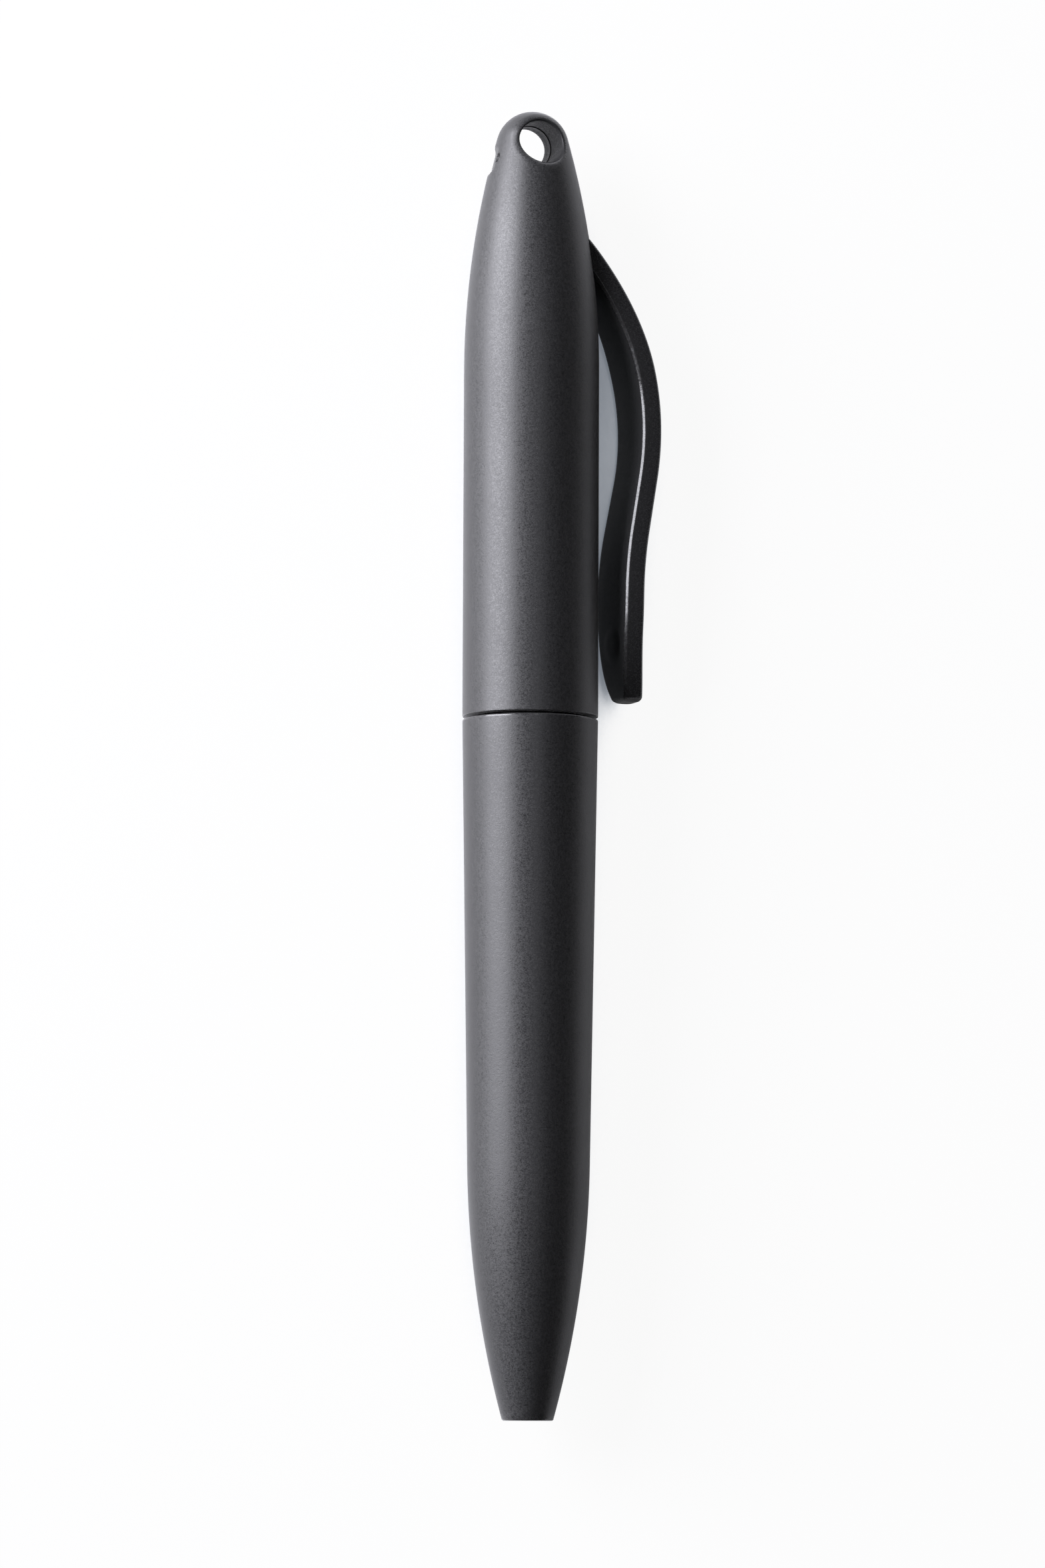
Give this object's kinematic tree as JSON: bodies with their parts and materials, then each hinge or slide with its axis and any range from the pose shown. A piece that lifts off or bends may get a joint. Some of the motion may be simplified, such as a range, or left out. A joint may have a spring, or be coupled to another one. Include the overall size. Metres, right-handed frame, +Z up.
{
  "type": "ballpoint pen",
  "caption": "Slim matt plastic twist pen with a domed end drilled for a lanyard, an arched spring clip and a refill that moves out of a flat-cut nose as the rear barrel turns.",
  "frame": {"origin": "on the ground under the middle of the pen's box, with the pen lying as pictured on its barrel and on the clip's outer edge", "axes": "+Y along the pen from nose to lanyard eye, +Z up, +X to the side that carries the clip"},
  "size_m": [0.019, 0.125, 0.0129],
  "materials": {
    "barrel_plastic": "fine satin moulded texture",
    "clip_plastic": "fine satin moulded texture",
    "brass": "turned",
    "rubber": "moulded",
    "spring_steel": "drawn",
    "sleeve_plastic": "moulded",
    "white_plastic": "moulded",
    "refill_steel": "satin",
    "ink": "wet",
    "carbide": "polished"
  },
  "bodies": {
    "lower": {"lower_barrel": "barrel_plastic", "barrel_insert": "brass", "guide_tube": "sleeve_plastic", "drag_ring": "rubber", "retaining_ring": "spring_steel", "return_spring": "spring_steel"},
    "upper": {"upper_barrel": "barrel_plastic", "cam_sleeve": "sleeve_plastic"},
    "clip": {"clip": "clip_plastic"},
    "refill": {"plunger": "white_plastic", "cam_pin": "spring_steel", "refill_tube": "refill_steel", "refill_plug": "white_plastic", "ink_column": "ink", "tip_collar": "white_plastic", "tip_socket": "refill_steel", "writing_ball": "carbide"}
  },
  "joints": [
    {"name": "twist", "type": "hinge", "parent": "lower", "child": "upper", "pos_m": [-0.00301, 0.0038, 0.00646], "axis": [0, -1, 0], "range_deg": [0, 180]},
    {"name": "refill_slide", "type": "slide", "parent": "lower", "child": "refill", "axis": [0, -1, 0], "range_m": [0, 0.0055], "deforming": ["return_spring"]},
    {"name": "clip_flex", "type": "hinge", "parent": "upper", "child": "clip", "pos_m": [0.00093, 0.04959, 0.0054], "axis": [0.2605, 0, 0.9655], "range_deg": [0, 4], "stiffness_Nm_per_rad": 2.4}
  ],
  "couplings": [
    {"joint": "twist", "follows": "refill_slide", "rad_per_m": 571.2}
  ]
}
